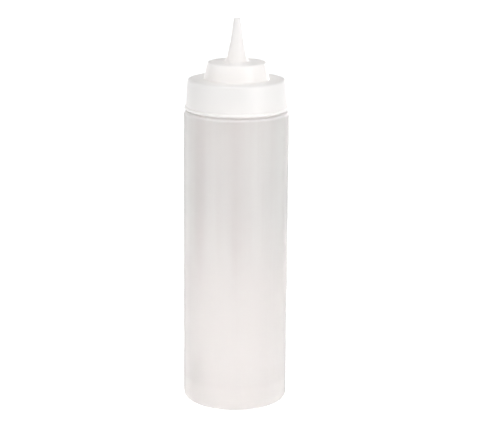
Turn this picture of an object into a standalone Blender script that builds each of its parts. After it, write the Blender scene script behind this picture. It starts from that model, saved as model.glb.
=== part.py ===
"""Condiment squeeze bottle with a screw-on cone-tip cap: bottle, seal ring and cap.

Lengths are in metres. The origin is the middle of the standing ring, and +Z is up.
"""

import math

import bmesh
import bpy
from mathutils import Matrix, Vector

# Body of the bottle
BODY_RADIUS = 0.0350
BODY_WALL = 0.0012
SHOULDER_HEIGHT = 0.1990
SHOULDER_STEP = 0.0051
SHOULDER_INNER_CORNER = 0.0008
HEEL_INNER_RADIUS = 0.0028

# Base of the bottle: a flat ring to stand on, round a shallow dome
STANDING_RING_WIDTH = 0.0015
PUSH_UP_HEIGHT = 0.0025
FLOOR_THICKNESS = 0.0018

# Neck of the bottle
NECK_HEIGHT = 0.0179
NECK_WALL = 0.0018
NECK_FILLET = 0.0008
LIP_ROUNDING = 0.0005

# Screw thread, shared by neck and cap
THREAD_PITCH = 0.00423
THREAD_TURNS = 1.75
THREAD_DEPTH = 0.0011
THREAD_CREST_WIDTH = 0.0009
THREAD_FLANK_ANGLE = math.radians(30)
THREAD_DROP = 0.0026
THREAD_CREST_CLEARANCE = 0.0004
THREAD_FLANK_CLEARANCE = 0.0004
THREAD_FADE_TURN_SHARE = 1 / 12
THREAD_END_DEPTH_SHARE = 0.1
THREAD_SINK = 0.0004

# Seal ring
FIT_GAP = 0.0003
RING_THICKNESS = 0.0015
RING_OVERHANG = 0.0003

# Cap
CAP_WALL = 0.0016
CAP_FOOT_GAP = 0.0015
CAP_FOOT_ROUNDING = 0.0003
SKIRT_DRAFT = 0.0008
SKIRT_BEAD_RADIUS = 0.00105
KEEPER_BEAD_RADIUS = 0.0007
DECK_STEP = 0.0112
DECK_INNER_CORNER = 0.0003
DECK_FILLET = 0.0010
TIER_HEIGHT = 0.0115
TIER_DRAFT = 0.0021
TIER_INNER_CORNER = 0.0003

# Cone spout, a little slimmer in the middle than a straight cone
SPOUT_HEIGHT = 0.0287
SPOUT_ROOT_RADIUS = 0.0073
SPOUT_ROOT_FILLET = 0.0030
SPOUT_WAIST_DROP = 0.0155
SPOUT_WAIST_RADIUS = 0.0044
SPOUT_WAIST_BEND = 0.0300
SPOUT_TIP_RADIUS = 0.0023
SPOUT_TIP_ROUNDING = 0.0004
SPOUT_ROOT_WALL = 0.0014
ORIFICE_RADIUS = 0.0012

# Fineness of the faceted surfaces
SEGMENTS = 60
ARC_STEP = math.radians(30)
CHAMFER_BELOW = 0.0006
DOME_STEPS = 5
WELD_DISTANCE = 0.00001
SMOOTH_ANGLE = math.radians(35)

# Sizes that follow from those above
NECK_RADIUS = BODY_RADIUS - SHOULDER_STEP
NECK_BORE_RADIUS = NECK_RADIUS - NECK_WALL
LIP_HEIGHT = SHOULDER_HEIGHT + NECK_HEIGHT
THREAD_RADIUS = NECK_RADIUS + THREAD_DEPTH
RING_HEIGHT = LIP_HEIGHT + FIT_GAP
CAP_HEIGHT = SHOULDER_HEIGHT + CAP_FOOT_GAP
CAP_BORE_RADIUS = THREAD_RADIUS + THREAD_CREST_CLEARANCE
DECK_UNDERSIDE = RING_HEIGHT + RING_THICKNESS + FIT_GAP - CAP_HEIGHT
DECK_TOP = DECK_UNDERSIDE + CAP_WALL
TIER_TOP = DECK_TOP + TIER_HEIGHT
SPOUT_TOP = TIER_TOP + SPOUT_HEIGHT


def clear_scene():
    for thing in list(bpy.data.objects):
        bpy.data.objects.remove(thing, do_unlink=True)


def plastic(name, colour, roughness):
    """A non-metal material with its colour in linear red, green and blue."""
    material = bpy.data.materials.new(name)
    material.use_nodes = True
    shader = material.node_tree.nodes["Principled BSDF"]
    shader.inputs["Base Color"].default_value = (*colour, 1)
    shader.inputs["Roughness"].default_value = roughness
    shader.inputs["Metallic"].default_value = 0
    return material


def arc(centre, start, end):
    """Points from start to end round centre, by the short way: a small arc is one flat."""
    first = start - centre
    sweep = -first.angle_signed(end - centre)
    steps = 1 if first.length < CHAMFER_BELOW else max(1, round(abs(sweep) / ARC_STEP))
    turns = [Matrix.Rotation(sweep * step / steps, 2) for step in range(steps + 1)]
    return [centre + turn @ first for turn in turns]


def half_round(radius, height, size, outward):
    """A half-round bead on a wall, from its top to its foot: outward is 1, or -1 on a bore."""
    centre = Vector((radius, height))
    top = centre + Vector((0, size))
    crest = centre + Vector((outward * size, 0))
    foot = centre - Vector((0, size))
    return [*arc(centre, top, crest), *arc(centre, crest, foot)[1:]]


def rounded(corners):
    """The outline through corners of (radius, height, rounding), each rounded by its own arc."""
    points = [Vector(corner[:2]) for corner in corners]
    outline = []
    for place, (point, corner) in enumerate(zip(points, corners)):
        if len(corner) == 2:
            outline.append(point)
            continue
        back = (points[place - 1] - point).normalized()
        onward = (points[(place + 1) % len(points)] - point).normalized()
        half_angle = back.angle(onward) / 2
        reach = corner[2] / math.tan(half_angle)
        centre = point + (back + onward).normalized() * corner[2] / math.sin(half_angle)
        outline.extend(arc(centre, point + back * reach, point + onward * reach))
    return outline


def dome(radius, height, foot_height):
    """Points of a shallow dome, from its middle down to its edge."""
    turns = [math.pi / 2 * step / DOME_STEPS for step in range(DOME_STEPS + 1)]
    return [(radius * math.sin(turn), foot_height + height * math.cos(turn)) for turn in turns]


def finished(name, mesh_data, material):
    """An object from a bmesh whose faces are turned outwards."""
    bmesh.ops.remove_doubles(mesh_data, verts=mesh_data.verts, dist=WELD_DISTANCE)
    bmesh.ops.recalc_face_normals(mesh_data, faces=mesh_data.faces)
    mesh = bpy.data.meshes.new(name)
    mesh_data.to_mesh(mesh)
    mesh_data.free()
    mesh.shade_smooth()
    mesh.set_sharp_from_angle(angle=SMOOTH_ANGLE)
    mesh.materials.append(material)
    piece = bpy.data.objects.new(name, mesh)
    bpy.context.scene.collection.objects.link(piece)
    return piece


def turned(name, outline, closed, material):
    """A solid of revolution about Z. An outline that isn't closed starts and ends on the axis."""
    shape = bmesh.new()
    points = [shape.verts.new((radius, 0, height)) for radius, height in outline]
    edges = [shape.edges.new(pair) for pair in zip(points, points[1:])]
    if closed:
        edges.append(shape.edges.new((points[-1], points[0])))
    bmesh.ops.spin(
        shape,
        geom=[*points, *edges],
        axis=(0, 0, 1),
        cent=(0, 0, 0),
        angle=math.tau,
        steps=SEGMENTS,
        use_merge=True,
    )
    return finished(name, shape, material)


def thread_ridge(name, root_radius, crest_radius, top_height, material):
    """One helical ridge of the right-hand thread, sunk in its wall and faded out at both ends."""
    depth = crest_radius - root_radius
    steps = round(THREAD_TURNS * SEGMENTS)
    fade_steps = THREAD_FADE_TURN_SHARE * SEGMENTS
    shape = bmesh.new()
    sections = []
    for step in range(steps + 1):
        fade = min(1, step / fade_steps, (steps - step) / fade_steps)
        share = THREAD_END_DEPTH_SHARE + (1 - THREAD_END_DEPTH_SHARE) * fade
        crest = root_radius + depth * share
        half_crest = THREAD_CREST_WIDTH / 2
        half_root = half_crest + abs(depth) * share * math.tan(THREAD_FLANK_ANGLE)
        turn = math.tau * step / SEGMENTS
        middle = top_height - THREAD_PITCH * (steps - step) / SEGMENTS
        corners = [
            (root_radius, -half_root),
            (crest, -half_crest),
            (crest, half_crest),
            (root_radius, half_root),
        ]
        sections.append(
            [
                shape.verts.new((radius * math.cos(turn), radius * math.sin(turn), middle + rise))
                for radius, rise in corners
            ]
        )
    for lower, upper in zip(sections, sections[1:]):
        for side in range(len(lower)):
            shape.faces.new((lower[side - 1], lower[side], upper[side], upper[side - 1]))
    shape.faces.new(sections[0])
    shape.faces.new(sections[-1])
    return finished(name, shape, material)


def join_ridge(piece, ridge):
    """Makes a thread ridge one solid with the piece whose wall it is sunk in."""
    ridge.hide_render = True
    ridge.display_type = "WIRE"
    ridge.parent = piece
    union = piece.modifiers.new("thread", "BOOLEAN")
    union.operation = "UNION"
    union.solver = "EXACT"
    union.object = ridge


def bottle_outline():
    """From the middle of the base outwards, up the outside, over the lip and down the inside."""
    heel_radius = HEEL_INNER_RADIUS + BODY_WALL
    shoulder_corner = SHOULDER_INNER_CORNER + BODY_WALL
    ring_outside = BODY_RADIUS - heel_radius
    inside = BODY_RADIUS - BODY_WALL
    shoulder_underside = SHOULDER_HEIGHT - BODY_WALL
    outside_corners = [
        (ring_outside, 0),
        (BODY_RADIUS, 0, heel_radius),
        (BODY_RADIUS, SHOULDER_HEIGHT, shoulder_corner),
        (NECK_RADIUS, SHOULDER_HEIGHT, NECK_FILLET),
        (NECK_RADIUS, LIP_HEIGHT, LIP_ROUNDING),
        (NECK_BORE_RADIUS, LIP_HEIGHT, LIP_ROUNDING),
        (NECK_BORE_RADIUS, shoulder_underside, NECK_FILLET),
        (inside, shoulder_underside, SHOULDER_INNER_CORNER),
        (inside, FLOOR_THICKNESS, HEEL_INNER_RADIUS),
        (ring_outside, FLOOR_THICKNESS),
    ]
    under = dome(ring_outside - STANDING_RING_WIDTH, PUSH_UP_HEIGHT, 0)
    floor = dome(ring_outside - STANDING_RING_WIDTH, PUSH_UP_HEIGHT, FLOOR_THICKNESS)
    return [*under, *rounded(outside_corners), *reversed(floor)]


def make_bottle(material):
    bottle = turned("bottle", bottle_outline(), False, material)
    ridge = thread_ridge(
        "neck_thread_ridge",
        NECK_RADIUS - THREAD_SINK,
        THREAD_RADIUS,
        LIP_HEIGHT - THREAD_DROP,
        material,
    )
    join_ridge(bottle, ridge)
    return bottle


def cap_bore_at(height):
    """The radius of the skirt's bore, which widens towards its foot, at a height over the foot."""
    return CAP_BORE_RADIUS + SKIRT_DRAFT * (1 - height / DECK_UNDERSIDE)


def skirt_radius_at(height):
    """The outer radius of the skirt at a height over its foot."""
    return cap_bore_at(height) + CAP_WALL


def make_seal_ring(material):
    """A flat die-cut ring, from just inside the neck's bore to just inside the cap's."""
    under = RING_HEIGHT - CAP_HEIGHT
    outside = cap_bore_at(under + RING_THICKNESS) - FIT_GAP
    inside = NECK_BORE_RADIUS - RING_OVERHANG
    outline = [
        (inside, 0),
        (outside, 0),
        (outside, RING_THICKNESS),
        (inside, RING_THICKNESS),
    ]
    return turned("seal_ring", outline, True, material)


def cap_outline():
    """From the orifice down the outside, round the skirt's foot and up the inside."""
    deck_edge = DECK_INNER_CORNER + CAP_WALL
    tier_edge = TIER_INNER_CORNER + CAP_WALL
    deck_radius = skirt_radius_at(DECK_TOP)
    tier_root = deck_radius - DECK_STEP
    tier_radius = tier_root - TIER_DRAFT
    waist_height = SPOUT_TOP - SPOUT_WAIST_DROP
    tip_wall = SPOUT_TIP_RADIUS - ORIFICE_RADIUS
    waist_wall = (tip_wall + SPOUT_ROOT_WALL) / 2
    tier_underside = TIER_TOP - CAP_WALL
    outside = [
        (ORIFICE_RADIUS, SPOUT_TOP),
        (SPOUT_TIP_RADIUS, SPOUT_TOP, SPOUT_TIP_ROUNDING),
        (SPOUT_WAIST_RADIUS, waist_height, SPOUT_WAIST_BEND),
        (SPOUT_ROOT_RADIUS, TIER_TOP, SPOUT_ROOT_FILLET),
        (tier_radius, TIER_TOP, tier_edge),
        (tier_root, DECK_TOP, DECK_FILLET),
        (deck_radius, DECK_TOP, deck_edge),
        (skirt_radius_at(0), 0),
    ]
    bead_radius = skirt_radius_at(SKIRT_BEAD_RADIUS)
    skirt_bead = half_round(bead_radius, SKIRT_BEAD_RADIUS, SKIRT_BEAD_RADIUS, 1)
    foot = [
        (bead_radius, 0),
        (cap_bore_at(0), 0, CAP_FOOT_ROUNDING),
        (cap_bore_at(DECK_UNDERSIDE), DECK_UNDERSIDE),
    ]
    keeper_height = RING_HEIGHT - CAP_HEIGHT - FIT_GAP - KEEPER_BEAD_RADIUS
    keeper_radius = cap_bore_at(keeper_height)
    keeper_bead = half_round(keeper_radius, keeper_height, KEEPER_BEAD_RADIUS, -1)
    inside = [
        (cap_bore_at(0), 0),
        (cap_bore_at(DECK_UNDERSIDE), DECK_UNDERSIDE, DECK_INNER_CORNER),
        (tier_root - CAP_WALL, DECK_UNDERSIDE, DECK_INNER_CORNER),
        (tier_radius - CAP_WALL, tier_underside, TIER_INNER_CORNER),
        (SPOUT_ROOT_RADIUS - SPOUT_ROOT_WALL, tier_underside, TIER_INNER_CORNER),
        (SPOUT_WAIST_RADIUS - waist_wall, waist_height),
        (ORIFICE_RADIUS, SPOUT_TOP),
    ]
    return [
        *rounded(outside)[:-1],
        *skirt_bead,
        *rounded(foot)[1:-1],
        *reversed(keeper_bead),
        *rounded(inside)[1:-1],
    ]


def make_cap(material):
    cap = turned("screw_cap", cap_outline(), True, material)
    neck_ridge_height = LIP_HEIGHT - THREAD_DROP - CAP_HEIGHT
    crest_radius = NECK_RADIUS + THREAD_CREST_CLEARANCE
    overlap = THREAD_RADIUS - crest_radius
    flank = overlap * math.tan(THREAD_FLANK_ANGLE)
    play = THREAD_FLANK_CLEARANCE / math.cos(THREAD_FLANK_ANGLE)
    ridge = thread_ridge(
        "cap_thread_ridge",
        CAP_BORE_RADIUS + SKIRT_DRAFT + THREAD_SINK,
        crest_radius,
        neck_ridge_height - THREAD_CREST_WIDTH - flank - play,
        material,
    )
    join_ridge(cap, ridge)
    return cap


def main():
    clear_scene()
    natural_polyethylene = plastic("natural_polyethylene", (0.72, 0.71, 0.70), 0.38)
    white_polyethylene = plastic("white_polyethylene", (0.90, 0.89, 0.87), 0.34)
    white_silicone = plastic("white_silicone", (0.80, 0.80, 0.78), 0.60)
    bottle = make_bottle(natural_polyethylene)
    seal_ring = make_seal_ring(white_silicone)
    screw_cap = make_cap(white_polyethylene)
    seal_ring.parent = bottle
    seal_ring.location.z = RING_HEIGHT
    screw_cap.parent = seal_ring
    screw_cap.location.z = CAP_HEIGHT - RING_HEIGHT


main()
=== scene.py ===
"""Looks of the condiment squeeze bottle: translucent bottle, seal ring and white screw cap.

Lengths are in metres. The bottle stands on Z = 0 round the Z axis, and its front faces -Y.
"""

import math

import bmesh
import bpy
from mathutils import Matrix, Vector


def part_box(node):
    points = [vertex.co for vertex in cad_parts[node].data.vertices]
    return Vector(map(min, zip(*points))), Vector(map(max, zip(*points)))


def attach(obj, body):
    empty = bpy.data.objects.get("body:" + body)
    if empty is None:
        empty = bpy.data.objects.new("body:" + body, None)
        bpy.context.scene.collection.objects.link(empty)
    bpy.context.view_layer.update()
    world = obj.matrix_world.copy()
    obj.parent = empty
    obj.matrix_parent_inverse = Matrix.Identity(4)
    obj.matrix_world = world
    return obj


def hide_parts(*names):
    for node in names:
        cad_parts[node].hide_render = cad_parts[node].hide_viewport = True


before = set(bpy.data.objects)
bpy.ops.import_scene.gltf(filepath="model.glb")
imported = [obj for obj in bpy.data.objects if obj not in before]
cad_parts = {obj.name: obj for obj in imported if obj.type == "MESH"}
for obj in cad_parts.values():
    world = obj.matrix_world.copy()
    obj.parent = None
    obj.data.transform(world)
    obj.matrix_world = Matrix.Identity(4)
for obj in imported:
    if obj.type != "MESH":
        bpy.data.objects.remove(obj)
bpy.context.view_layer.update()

# The bottle is one blow-moulded piece of natural low-density polyethylene: a soft tube, blown
# out against the two halves of a mould. The halves leave a fine parting line up both sides
# and across the base. The neck carries the right-hand thread for the cap.

BOTTLE_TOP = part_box("bottle")[1]
BODY_RADIUS = BOTTLE_TOP.x
LIP_HEIGHT = BOTTLE_TOP.z
BODY_WALL = 0.0012
SHOULDER_HEIGHT = 0.1990
SHOULDER_STEP = 0.0051
SHOULDER_INNER_CORNER = 0.0008
HEEL_INNER_RADIUS = 0.0028
STANDING_RING_WIDTH = 0.0015
PUSH_UP_HEIGHT = 0.0025
PUSH_UP_STEPS = 16
FLOOR_THICKNESS = 0.0018
NECK_WALL = 0.0018
NECK_FILLET = 0.0008
LIP_ROUNDING = 0.0005
NECK_RADIUS = BODY_RADIUS - SHOULDER_STEP
NECK_BORE_RADIUS = NECK_RADIUS - NECK_WALL

THREAD_PITCH = 0.00423
THREAD_TURNS = 1.75
THREAD_RADIUS = NECK_RADIUS + 0.0011
THREAD_CREST_WIDTH = 0.0009
THREAD_FLANK_SLOPE = math.tan(math.radians(30))
THREAD_DROP = 0.0026
THREAD_FADE_TURNS = 1 / 12
THREAD_END_DEPTH_SHARE = 0.1
THREAD_SINK = 0.0004

PARTING_LINE_HALF_WIDTH = 0.00022
PARTING_LINE_HEIGHT = 0.00007

SPIN_STEPS = 180
ROUNDING_STEPS = 6
NEAR = 1e-6
SMOOTH_ANGLE = math.radians(30)

# The wall by height. Its tint is the wall's own white with painted light: lightest at the
# thick heel, with a soft step at the heel's top, and darker up the body, for light bounced
# from the floor and shade under the opaque cap. From the shoulder's corner up it is near-white,
# a painted highlight on the corner and painted light in the shaded gap under the cap; there
# the corner and the neck scatter light where the rest lets it through.
WALL_TINTS_AND_PAINTED_LIGHT = [
    (0, "#F9F7F6"),
    (0.0140, "#FAF8F7"),
    (0.0175, "#F4F2F1"),
    (0.0300, "#F5F3F2"),
    (0.0500, "#F2F0EF"),
    (0.0900, "#EDEBEA"),
    (0.1400, "#EBEBEA"),
    (0.1970, "#EEEEED"),
    (0.1982, "#FDFBFA"),
    (LIP_HEIGHT, "#FDFBFA"),
]
CLEARNESS = [
    (0, 0.8),
    (0.03, 0.85),
    (0.08, 1),
    (0.1972, 1),
    (0.1979, 0),
    (LIP_HEIGHT, 0),
]
SCATTER = [(0, 0), (0.1970, 0), (0.1980, 1), (LIP_HEIGHT, 1)]
SCATTER_DEPTH = 0.007
LEAST_HAZE = 0.8
MOST_HAZE = 0.9
GLOSS_SHARE = 0.4
GLOSS_ROUGHNESS = 0.35
POLYETHYLENE_IOR = 1.51

# The streaks are painted reflection: soft, faintly warm darker bands that stand in for the
# studio's reflections in the upper wall. They fade in from STREAK_FOOT to STREAK_FULL, some of
# them sooner by STREAK_RAGGED.
PAINTED_REFLECTION_SHADE = "#DED1D2"
STREAK_SHARE = 0.27
STREAK_WIDTH = 0.016
STREAK_STRETCH = 0.02
STREAK_DETAIL = 3
STREAK_NOISE_LOW = 0.35
STREAK_NOISE_HIGH = 0.65
STREAK_TURN = math.radians(50)
STREAK_FOOT = 0.095
STREAK_FULL = 0.145
STREAK_RAGGED = 0.05
STREAK_RELIEF = 0.0002


def outline(corners):
    """A wire through corners of (radius, height, rounding), with each rounding bevelled in."""
    shape = bmesh.new()
    points = [shape.verts.new((radius, 0, height)) for radius, height, _ in corners]
    for pair in zip(points, points[1:]):
        shape.edges.new(pair)
    places = [point.co.copy() for point in points]
    for index in range(1, len(corners) - 1):
        rounding = corners[index][2]
        if not rounding:
            continue
        back = places[index - 1] - places[index]
        onward = places[index + 1] - places[index]
        bmesh.ops.bevel(
            shape,
            geom=[points[index]],
            offset=rounding / math.tan(back.angle(onward) / 2),
            offset_type="OFFSET",
            segments=ROUNDING_STEPS,
            profile=0.5,
            affect="VERTICES",
            material=-1,
        )
    return shape


def turn_round(shape):
    """Spins a wire round Z into a closed skin that faces outwards."""
    bmesh.ops.spin(
        shape,
        geom=[*shape.verts, *shape.edges],
        axis=(0, 0, 1),
        cent=(0, 0, 0),
        angle=math.tau,
        steps=SPIN_STEPS,
        use_merge=True,
    )
    bmesh.ops.remove_doubles(shape, verts=shape.verts, dist=NEAR)
    bmesh.ops.recalc_face_normals(shape, faces=shape.faces)


def thread_ridge(root_radius, crest_radius, top_height):
    """A right-hand ridge, sunk in its wall, that fades out at both ends."""
    half_crest = THREAD_CREST_WIDTH / 2
    half_root = half_crest + abs(crest_radius - root_radius) * THREAD_FLANK_SLOPE
    foot_height = top_height - THREAD_TURNS * THREAD_PITCH
    ridge = bmesh.new()
    section = [
        ridge.verts.new((root_radius, 0, foot_height - half_root)),
        ridge.verts.new((crest_radius, 0, foot_height - half_crest)),
        ridge.verts.new((crest_radius, 0, foot_height + half_crest)),
        ridge.verts.new((root_radius, 0, foot_height + half_root)),
    ]
    end = ridge.faces.new(section)
    steps = round(THREAD_TURNS * SPIN_STEPS)
    bmesh.ops.spin(
        ridge,
        geom=[*section, *end.edges, end],
        axis=(0, 0, 1),
        cent=(0, 0, 0),
        dvec=(0, 0, THREAD_PITCH / SPIN_STEPS),
        angle=math.tau * THREAD_TURNS,
        steps=steps,
    )
    fade_steps = THREAD_FADE_TURNS * SPIN_STEPS
    for index, point in enumerate(ridge.verts):
        step = index // len(section)
        fade = min(1, step / fade_steps, (steps - step) / fade_steps)
        share = THREAD_END_DEPTH_SHARE + (1 - THREAD_END_DEPTH_SHARE) * fade
        radius = point.co.xy.length
        point.co.xy *= (root_radius + (radius - root_radius) * share) / radius
    bmesh.ops.recalc_face_normals(ridge, faces=ridge.faces)
    return ridge


def placed(name, shape):
    """A mesh object of a bmesh, at the origin."""
    mesh = bpy.data.meshes.new(name)
    shape.to_mesh(mesh)
    shape.free()
    piece = bpy.data.objects.new(name, mesh)
    bpy.context.scene.collection.objects.link(piece)
    return piece


def joined_to_ridge(name, shape, ridge):
    """One piece, with a single skin, of a turned shape and the ridge in its wall."""
    carrier = placed(name + "_wall", shape)
    cutter = placed(name + "_ridge", ridge)
    union = carrier.modifiers.new("union", "BOOLEAN")
    union.operation = "UNION"
    union.solver = "EXACT"
    union.object = cutter
    evaluated = carrier.evaluated_get(bpy.context.evaluated_depsgraph_get())
    mesh = bpy.data.meshes.new_from_object(evaluated)
    mesh.name = name
    for spare in (carrier, cutter):
        bpy.data.objects.remove(spare)
    piece = bpy.data.objects.new(name, mesh)
    bpy.context.scene.collection.objects.link(piece)
    return piece


def finish_piece(piece, material, body, node_name):
    """Smooth shading and a material, and the piece takes its CAD node's place."""
    piece.data.shade_smooth()
    piece.data.set_sharp_from_angle(angle=SMOOTH_ANGLE)
    piece.data.materials.clear()
    piece.data.materials.append(material)
    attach(piece, body)
    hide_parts(node_name)


def linear(hex_colour):
    """Linear red, green, blue and alpha of an sRGB hex value, by sRGB's own curve."""
    shares = [int(hex_colour[start : start + 2], 16) / 255 for start in (1, 3, 5)]
    return (
        *[
            share / 12.92 if share < 0.04045 else ((share + 0.055) / 1.055) ** 2.4
            for share in shares
        ],
        1,
    )


def add_node(tree, kind, settings, sockets):
    """A node with its settings, and with each named socket linked or set."""
    made = tree.nodes.new(kind)
    for name, value in settings.items():
        setattr(made, name, value)
    for name, value in sockets.items():
        if isinstance(value, bpy.types.NodeSocket):
            tree.links.new(value, made.inputs[name])
        else:
            made.inputs[name].default_value = value
    return made


def graded(tree, height, stops):
    """A colour that follows the height through stops of (height, colour)."""
    share = add_node(
        tree, "ShaderNodeMath", {"operation": "DIVIDE"}, {0: height, 1: stops[-1][0]}
    ).outputs[0]
    ramp = add_node(tree, "ShaderNodeValToRGB", {}, {"Fac": share})
    elements = ramp.color_ramp.elements
    while len(elements) < len(stops):
        elements.new(0.5)
    for element, (stop, colour) in zip(elements, stops):
        element.position = stop / stops[-1][0]
        element.color = colour
    return ramp.outputs["Color"]


def times(tree, first, second):
    """The product of two sockets, or of a socket and a number."""
    return add_node(
        tree, "ShaderNodeMath", {"operation": "MULTIPLY"}, {0: first, 1: second}
    ).outputs[0]


def noise_of(tree, coordinates, size, detail):
    """Noise with features of a real size."""
    return add_node(
        tree,
        "ShaderNodeTexNoise",
        {},
        {"Vector": coordinates, "Scale": 1 / size, "Detail": detail},
    ).outputs["Fac"]


def new_surface(name, sockets):
    """A material, its node tree and its Principled shader, with its plain values set."""
    material = bpy.data.materials.new(name)
    material.use_nodes = True
    tree = material.node_tree
    shader = tree.nodes["Principled BSDF"]
    for socket, value in sockets.items():
        shader.inputs[socket].default_value = value
    return material, tree, shader


def object_coordinates(tree):
    """The place on the object, in metres."""
    return add_node(tree, "ShaderNodeTexCoord", {}, {}).outputs["Object"]


def roughened(tree, shader, pattern, least_roughness, most_roughness, relief):
    """A pattern moves the roughness between two ends and stands proud by its relief."""
    roughness = add_node(
        tree,
        "ShaderNodeMapRange",
        {},
        {"Value": pattern, "To Min": least_roughness, "To Max": most_roughness},
    ).outputs["Result"]
    tree.links.new(roughness, shader.inputs["Roughness"])
    bump = add_node(
        tree, "ShaderNodeBump", {}, {"Height": pattern, "Strength": 1, "Distance": relief}
    ).outputs["Normal"]
    tree.links.new(bump, shader.inputs["Normal"])


def natural_polyethylene():
    """Natural low-density polyethylene, blow-moulded. The eye sees an even pale grey, because
    the wall is clear but very hazy, under a soft satin gloss. Its tint carries painted light:
    lighter at the thick heel and towards the base, darker up the body, and near-white from the
    shoulder's corner up the neck, which scatter light, as a painted highlight and painted light
    in the shaded gap under the cap. Soft, faintly warm bands of painted reflection run up the
    thinner wall."""
    material, tree, shader = new_surface(
        "natural_polyethylene",
        {
            "Metallic": 0,
            "IOR": POLYETHYLENE_IOR,
            "Subsurface Radius": (1, 1, 1),
            "Subsurface Scale": SCATTER_DEPTH,
            "Coat Weight": GLOSS_SHARE,
            "Coat Roughness": GLOSS_ROUGHNESS,
        },
    )
    coordinates = object_coordinates(tree)
    height = add_node(tree, "ShaderNodeSeparateXYZ", {}, {"Vector": coordinates}).outputs["Z"]
    for socket, stops in {
        "Transmission Weight": CLEARNESS,
        "Subsurface Weight": SCATTER,
    }.items():
        shares = graded(tree, height, [(stop, (share, share, share, 1)) for stop, share in stops])
        tree.links.new(shares, shader.inputs[socket])
    # The wall's tint by height, with its painted light from the floor, the cap's shade and the
    # corner.
    wall = graded(tree, height, [(stop, linear(tint)) for stop, tint in WALL_TINTS_AND_PAINTED_LIGHT])

    lengthwise = add_node(
        tree,
        "ShaderNodeMapping",
        {},
        {
            "Vector": coordinates,
            "Rotation": (0, 0, STREAK_TURN),
            "Scale": (1, 1, STREAK_STRETCH),
        },
    ).outputs["Vector"]
    streaks = add_node(
        tree,
        "ShaderNodeMapRange",
        {"interpolation_type": "SMOOTHSTEP"},
        {
            "Value": noise_of(tree, lengthwise, STREAK_WIDTH, STREAK_DETAIL),
            "From Min": STREAK_NOISE_LOW,
            "From Max": STREAK_NOISE_HIGH,
        },
    ).outputs["Result"]
    ragged = add_node(
        tree,
        "ShaderNodeMath",
        {"operation": "MULTIPLY_ADD"},
        {0: streaks, 1: STREAK_RAGGED, 2: height},
    ).outputs[0]
    reach = add_node(
        tree,
        "ShaderNodeMapRange",
        {"interpolation_type": "SMOOTHSTEP"},
        {
            "Value": ragged,
            "From Min": STREAK_FOOT + STREAK_RAGGED / 2,
            "From Max": STREAK_FULL + STREAK_RAGGED / 2,
        },
    ).outputs["Result"]
    # Painted reflection: the streaks darken the wall's tint by this share.
    shade = times(tree, times(tree, streaks, reach), STREAK_SHARE)
    tint = add_node(
        tree,
        "ShaderNodeMix",
        {"data_type": "RGBA", "blend_type": "MULTIPLY"},
        {"Factor": shade, 6: wall, 7: linear(PAINTED_REFLECTION_SHADE)},
    ).outputs[2]
    tree.links.new(tint, shader.inputs["Base Color"])
    roughened(tree, shader, streaks, LEAST_HAZE, MOST_HAZE, STREAK_RELIEF)
    return material


heel_radius = HEEL_INNER_RADIUS + BODY_WALL
ring_outside = BODY_RADIUS - heel_radius
push_up_radius = ring_outside - STANDING_RING_WIDTH
push_up_turns = [math.pi / 2 * step / PUSH_UP_STEPS for step in range(PUSH_UP_STEPS + 1)]
push_up = [
    (push_up_radius * math.sin(turn), PUSH_UP_HEIGHT * math.cos(turn), 0)
    for turn in push_up_turns
]
floor_of_bottle = [(radius, height + FLOOR_THICKNESS, 0) for radius, height, _ in push_up]
shoulder_underside = SHOULDER_HEIGHT - BODY_WALL
body_bore = BODY_RADIUS - BODY_WALL
bottle_shape = outline(
    [
        *push_up,
        (ring_outside, 0, 0),
        (BODY_RADIUS, 0, heel_radius),
        (BODY_RADIUS, SHOULDER_HEIGHT, SHOULDER_INNER_CORNER + BODY_WALL),
        (NECK_RADIUS, SHOULDER_HEIGHT, NECK_FILLET),
        (NECK_RADIUS, LIP_HEIGHT, LIP_ROUNDING),
        (NECK_BORE_RADIUS, LIP_HEIGHT, LIP_ROUNDING),
        (NECK_BORE_RADIUS, shoulder_underside, NECK_FILLET),
        (body_bore, shoulder_underside, SHOULDER_INNER_CORNER),
        (body_bore, FLOOR_THICKNESS, HEEL_INNER_RADIUS),
        (ring_outside, FLOOR_THICKNESS, 0),
        *reversed(floor_of_bottle),
    ]
)
turn_round(bottle_shape)

# The parting line is a low ridge in the plane Y = 0, between two cuts in the outer skin. It
# stops short of the lip, which is trimmed flat.
for side in (-PARTING_LINE_HALF_WIDTH, PARTING_LINE_HALF_WIDTH):
    bmesh.ops.bisect_plane(
        bottle_shape,
        geom=[*bottle_shape.verts, *bottle_shape.edges, *bottle_shape.faces],
        plane_co=(0, side, 0),
        plane_no=(0, 1, 0),
        dist=NEAR,
    )
bottle_shape.normal_update()
middle = Vector((0, 0, LIP_HEIGHT / 2))
line_end = LIP_HEIGHT - LIP_ROUNDING - NEAR
parting_line = [
    point
    for point in bottle_shape.verts
    if abs(point.co.y) < NEAR
    and point.co.z < line_end
    and point.normal.dot(point.co - middle) > 0
]
for point in parting_line:
    point.co += point.normal * PARTING_LINE_HEIGHT
    point.co.z = max(point.co.z, 0)

neck_ridge = thread_ridge(NECK_RADIUS - THREAD_SINK, THREAD_RADIUS, LIP_HEIGHT - THREAD_DROP)
bottle = joined_to_ridge("blown_bottle", bottle_shape, neck_ridge)
finish_piece(bottle, natural_polyethylene(), "bottle", "bottle")

# The seal ring is cut flat from silicone sheet. It lies loose between the bottle's lip and
# the cap's deck, and a bead inside the cap keeps it from falling out.

RING_BELOW, RING_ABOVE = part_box("seal_ring")
RING_RADIUS = RING_ABOVE.x
RING_OVERHANG = 0.0003
RING_EDGE = 0.0001
RING_TINT = "#EEEDE9"
SILICONE_IOR = 1.41
RING_LEAST_ROUGHNESS = 0.55
RING_MOST_ROUGHNESS = 0.75

# The real grain is finer. It is drawn coarser, so that it can be seen at all.
RING_GRAIN = 0.0008
RING_GRAIN_DETAIL = 2
RING_GRAIN_RELIEF = 0.00003


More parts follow.
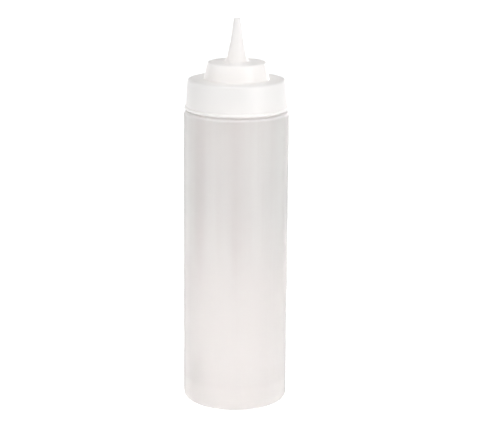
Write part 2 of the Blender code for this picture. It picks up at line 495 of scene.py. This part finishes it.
def sheet_silicone():
    """White silicone rubber sheet: a matt, faintly grainy white, softer than the cap's."""
    material, tree, shader = new_surface(
        "sheet_silicone",
        {"Metallic": 0, "IOR": SILICONE_IOR, "Base Color": linear(RING_TINT)},
    )
    grain = noise_of(tree, object_coordinates(tree), RING_GRAIN, RING_GRAIN_DETAIL)
    roughened(
        tree, shader, grain, RING_LEAST_ROUGHNESS, RING_MOST_ROUGHNESS, RING_GRAIN_RELIEF
    )
    return material


ring_hole = NECK_BORE_RADIUS - RING_OVERHANG
ring_middle = (ring_hole + RING_RADIUS) / 2
ring_shape = outline(
    [
        (ring_middle, RING_BELOW.z, 0),
        (RING_RADIUS, RING_BELOW.z, RING_EDGE),
        (RING_RADIUS, RING_ABOVE.z, RING_EDGE),
        (ring_hole, RING_ABOVE.z, RING_EDGE),
        (ring_hole, RING_BELOW.z, RING_EDGE),
        (ring_middle, RING_BELOW.z, 0),
    ]
)
turn_round(ring_shape)
ring = placed("silicone_ring", ring_shape)
finish_piece(ring, sheet_silicone(), "seal", "seal_ring")

# The screw cap is one injection-moulded piece of white polyethylene: a skirt with a bead
# round its foot, a flat deck, a smaller drum on it and a cone spout. Its own thread, and a
# bead that keeps the seal ring in, are inside the skirt.

CAP_BELOW, CAP_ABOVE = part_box("screw_cap")
CAP_WALL = 0.0016
CAP_FOOT_ROUNDING = 0.0003
SKIRT_DRAFT = 0.0008
SKIRT_BEAD_RADIUS = 0.00105
KEEPER_BEAD_RADIUS = 0.0007
CAP_BORE_RADIUS = THREAD_RADIUS + 0.0004
THREAD_CREST_CLEARANCE = 0.0004
THREAD_FLANK_CLEARANCE = 0.0004
FIT_GAP = 0.0003
DECK_STEP = 0.0112
DECK_INNER_CORNER = 0.0003
DECK_FILLET = 0.0010
TIER_HEIGHT = 0.0115
TIER_DRAFT = 0.0021
TIER_INNER_CORNER = 0.0003
SPOUT_HEIGHT = 0.0287
SPOUT_ROOT_RADIUS = 0.0073
SPOUT_ROOT_FILLET = 0.0030
SPOUT_WAIST_DROP = 0.0155
SPOUT_WAIST_RADIUS = 0.0044
SPOUT_WAIST_BEND = 0.0300
SPOUT_TIP_RADIUS = 0.0023
SPOUT_TIP_ROUNDING = 0.0004
SPOUT_ROOT_WALL = 0.0014
ORIFICE_RADIUS = 0.0012

CAP_TINT = "#F7F3F1"
CAP_SCATTER_DEPTH = 0.002
CAP_LEAST_ROUGHNESS = 0.32
CAP_MOST_ROUGHNESS = 0.42

# The real grain is finer. It is drawn coarser, so that it can be seen at all.
CAP_GRAIN = 0.0015
CAP_GRAIN_DETAIL = 3
CAP_GRAIN_RELIEF = 0.00002

cap_foot = CAP_BELOW.z
spout_top = CAP_ABOVE.z
tier_top = spout_top - SPOUT_HEIGHT
deck_top = tier_top - TIER_HEIGHT
deck_underside = deck_top - CAP_WALL
tier_underside = tier_top - CAP_WALL


def cap_bore_at(height):
    """The radius of the skirt's bore, which widens towards its foot."""
    return CAP_BORE_RADIUS + SKIRT_DRAFT * (deck_underside - height) / (deck_underside - cap_foot)


def white_polyethylene():
    """White low-density polyethylene, injection-moulded: an opaque, faintly warm white with a
    soft satin gloss, whose thin rims glow a little because light sinks in before it scatters."""
    material, tree, shader = new_surface(
        "white_polyethylene",
        {
            "Metallic": 0,
            "IOR": POLYETHYLENE_IOR,
            "Base Color": linear(CAP_TINT),
            "Subsurface Weight": 1,
            "Subsurface Radius": (1, 1, 1),
            "Subsurface Scale": CAP_SCATTER_DEPTH,
        },
    )
    grain = noise_of(tree, object_coordinates(tree), CAP_GRAIN, CAP_GRAIN_DETAIL)
    roughened(tree, shader, grain, CAP_LEAST_ROUGHNESS, CAP_MOST_ROUGHNESS, CAP_GRAIN_RELIEF)
    return material


bead_wall = cap_bore_at(cap_foot + SKIRT_BEAD_RADIUS) + CAP_WALL
bead_crest = bead_wall + SKIRT_BEAD_RADIUS
bead_top = cap_foot + 2 * SKIRT_BEAD_RADIUS
keeper_top = RING_BELOW.z - FIT_GAP
keeper_foot = keeper_top - 2 * KEEPER_BEAD_RADIUS
keeper_wall = cap_bore_at(keeper_top - KEEPER_BEAD_RADIUS)
keeper_crest = keeper_wall - KEEPER_BEAD_RADIUS
deck_radius = cap_bore_at(deck_top) + CAP_WALL
tier_root = deck_radius - DECK_STEP
tier_radius = tier_root - TIER_DRAFT
waist_height = spout_top - SPOUT_WAIST_DROP
waist_wall = (SPOUT_TIP_RADIUS - ORIFICE_RADIUS + SPOUT_ROOT_WALL) / 2
cap_shape = outline(
    [
        (ORIFICE_RADIUS, spout_top, 0),
        (SPOUT_TIP_RADIUS, spout_top, SPOUT_TIP_ROUNDING),
        (SPOUT_WAIST_RADIUS, waist_height, SPOUT_WAIST_BEND),
        (SPOUT_ROOT_RADIUS, tier_top, SPOUT_ROOT_FILLET),
        (tier_radius, tier_top, TIER_INNER_CORNER + CAP_WALL),
        (tier_root, deck_top, DECK_FILLET),
        (deck_radius, deck_top, DECK_INNER_CORNER + CAP_WALL),
        (bead_wall, bead_top, 0),
        (bead_crest, bead_top, SKIRT_BEAD_RADIUS - NEAR),
        (bead_crest, cap_foot, SKIRT_BEAD_RADIUS - NEAR),
        (cap_bore_at(cap_foot), cap_foot, CAP_FOOT_ROUNDING),
        (keeper_wall, keeper_foot, 0),
        (keeper_crest, keeper_foot, KEEPER_BEAD_RADIUS - NEAR),
        (keeper_crest, keeper_top, KEEPER_BEAD_RADIUS - NEAR),
        (keeper_wall, keeper_top, 0),
        (CAP_BORE_RADIUS, deck_underside, DECK_INNER_CORNER),
        (tier_root - CAP_WALL, deck_underside, DECK_INNER_CORNER),
        (tier_radius - CAP_WALL, tier_underside, TIER_INNER_CORNER),
        (SPOUT_ROOT_RADIUS - SPOUT_ROOT_WALL, tier_underside, TIER_INNER_CORNER),
        (SPOUT_WAIST_RADIUS - waist_wall, waist_height, 0),
        (ORIFICE_RADIUS, spout_top, 0),
    ]
)
turn_round(cap_shape)

cap_crest_radius = NECK_RADIUS + THREAD_CREST_CLEARANCE
ridge_gap = (
    THREAD_CREST_WIDTH
    + (THREAD_RADIUS - cap_crest_radius) * THREAD_FLANK_SLOPE
    + THREAD_FLANK_CLEARANCE / math.cos(math.atan(THREAD_FLANK_SLOPE))
)
cap_ridge = thread_ridge(
    CAP_BORE_RADIUS + SKIRT_DRAFT + THREAD_SINK,
    cap_crest_radius,
    LIP_HEIGHT - THREAD_DROP - ridge_gap,
)
cap = joined_to_ridge("moulded_cap", cap_shape, cap_ridge)
finish_piece(cap, white_polyethylene(), "cap", "screw_cap")

# The floor is a pale sweep of matt board under soft, even studio light. The eye, and
# whatever the plastic mirrors or lets through, meets plain white behind the bottle.

FLOOR_SIZE = 12
FLOOR_TINT = "#F6F6F6"
FLOOR_ROUGHNESS = 0.9

# The floor sends the bottle less light than it shows the eye, and the room above the sweep is
# dimmer than the sweep, so that the cap's flat tops stay darker than its walls.
FLOOR_GLOW = 0.7
FLOOR_BOUNCE = 0.3
SWEEP_LIGHT = 1
ROOM_LIGHT = 0.3
SWEEP_TOP = math.sin(math.radians(5))
ROOM_START = math.sin(math.radians(15))

# The two back lights stand just outside the picture and brighten the body's sides.
KEY_POWER = 14.3
KEY_SIZE = 1.1
KEY_PLACE = (1.5, -1.6, 0.45)
FILL_POWER = 8
FILL_SIZE = 1.4
FILL_PLACE = (-1.8, -0.9, 0.5)
BACK_POWER_LEFT = 3
BACK_POWER_RIGHT = 13
BACK_SIZE = 0.8
BACK_SIDE = 0.9
BACK_DEPTH = 2.2
BACK_HEIGHT = 0.3
TOP_POWER = 6.5
TOP_SIZE = 0.6
TOP_PLACE = (0.1, -0.25, 1.4)


def seen_directly(tree):
    """1 for a ray from the eye, or one that a glossy or see-through surface sends on."""
    path = add_node(tree, "ShaderNodeLightPath", {}, {}).outputs
    either = add_node(
        tree,
        "ShaderNodeMath",
        {"operation": "MAXIMUM"},
        {0: path["Is Camera Ray"], 1: path["Is Glossy Ray"]},
    ).outputs[0]
    return add_node(
        tree,
        "ShaderNodeMath",
        {"operation": "MAXIMUM"},
        {0: either, 1: path["Is Transmission Ray"]},
    ).outputs[0]


def white_board():
    """Matt white board, lit so well that the eye sees plain white."""
    material, tree, shader = new_surface(
        "white_board",
        {
            "Base Color": linear(FLOOR_TINT),
            "Roughness": FLOOR_ROUGHNESS,
            "Emission Color": (1, 1, 1, 1),
        },
    )
    glow = add_node(
        tree,
        "ShaderNodeMapRange",
        {},
        {"Value": seen_directly(tree), "To Min": FLOOR_BOUNCE, "To Max": FLOOR_GLOW},
    ).outputs["Result"]
    tree.links.new(glow, shader.inputs["Emission Strength"])
    return material


floor_shape = bmesh.new()
bmesh.ops.create_grid(floor_shape, x_segments=1, y_segments=1, size=FLOOR_SIZE / 2)
floor = placed("floor", floor_shape)
floor.data.materials.append(white_board())

world = bpy.data.worlds.new("studio")
bpy.context.scene.world = world
world.use_nodes = True
world_tree = world.node_tree
background = world_tree.nodes["Background"]
background.inputs["Color"].default_value = (1, 1, 1, 1)
direction = add_node(world_tree, "ShaderNodeTexCoord", {}, {}).outputs["Generated"]
upward = add_node(world_tree, "ShaderNodeSeparateXYZ", {}, {"Vector": direction}).outputs["Z"]
room_light = add_node(
    world_tree,
    "ShaderNodeMapRange",
    {"interpolation_type": "SMOOTHSTEP"},
    {
        "Value": upward,
        "From Min": SWEEP_TOP,
        "From Max": ROOM_START,
        "To Min": SWEEP_LIGHT,
        "To Max": ROOM_LIGHT,
    },
).outputs["Result"]
world_tree.links.new(room_light, background.inputs["Strength"])

LIT_POINT = Vector((0, 0, 0.14))


def soft_box(name, place, size, power):
    """A square area lamp that faces the bottle."""
    lamp = bpy.data.lights.new(name, "AREA")
    lamp.shape = "SQUARE"
    lamp.size = size
    lamp.energy = power
    box = bpy.data.objects.new(name, lamp)
    box.location = place
    box.rotation_euler = (LIT_POINT - box.location).to_track_quat("-Z", "Y").to_euler()
    bpy.context.scene.collection.objects.link(box)


soft_box("key_light", KEY_PLACE, KEY_SIZE, KEY_POWER)
soft_box("fill_light", FILL_PLACE, FILL_SIZE, FILL_POWER)
soft_box("top_light", TOP_PLACE, TOP_SIZE, TOP_POWER)
soft_box("back_light_left", (-BACK_SIDE, BACK_DEPTH, BACK_HEIGHT), BACK_SIZE, BACK_POWER_LEFT)
soft_box("back_light_right", (BACK_SIDE, BACK_DEPTH, BACK_HEIGHT), BACK_SIZE, BACK_POWER_RIGHT)

# A path of light crosses several hazy skins on its way to the eye, so it gets more bounces.
scene = bpy.context.scene
scene.view_settings.view_transform = "Standard"
scene.cycles.max_bounces = 32
scene.cycles.diffuse_bounces = 12
scene.cycles.glossy_bounces = 12
scene.cycles.transmission_bounces = 24

# The camera looks down on the bottle a little from just in front, as in the photograph, and
# leans a hair to one side.

CAMERA_DISTANCE = 1.1547
CAMERA_HEIGHT = 0.4093
CAMERA_SIDE = 0.0028
CAMERA_DOWN = math.radians(13.69)
CAMERA_LEAN = math.radians(0.41)
CAMERA_LENS = 132.2
CAMERA_SENSOR = 36
CAMERA_REACH = 30

camera_data = bpy.data.cameras.new("camera")
camera_data.sensor_width = CAMERA_SENSOR
camera_data.lens = CAMERA_LENS
camera_data.clip_end = CAMERA_REACH
camera = bpy.data.objects.new("camera", camera_data)
camera.matrix_world = (
    Matrix.Translation((CAMERA_SIDE, -CAMERA_DISTANCE, CAMERA_HEIGHT))
    @ Matrix.Rotation(math.pi / 2 - CAMERA_DOWN, 4, "X")
    @ Matrix.Rotation(CAMERA_LEAN, 4, "Z")
)
scene.collection.objects.link(camera)
scene.camera = camera
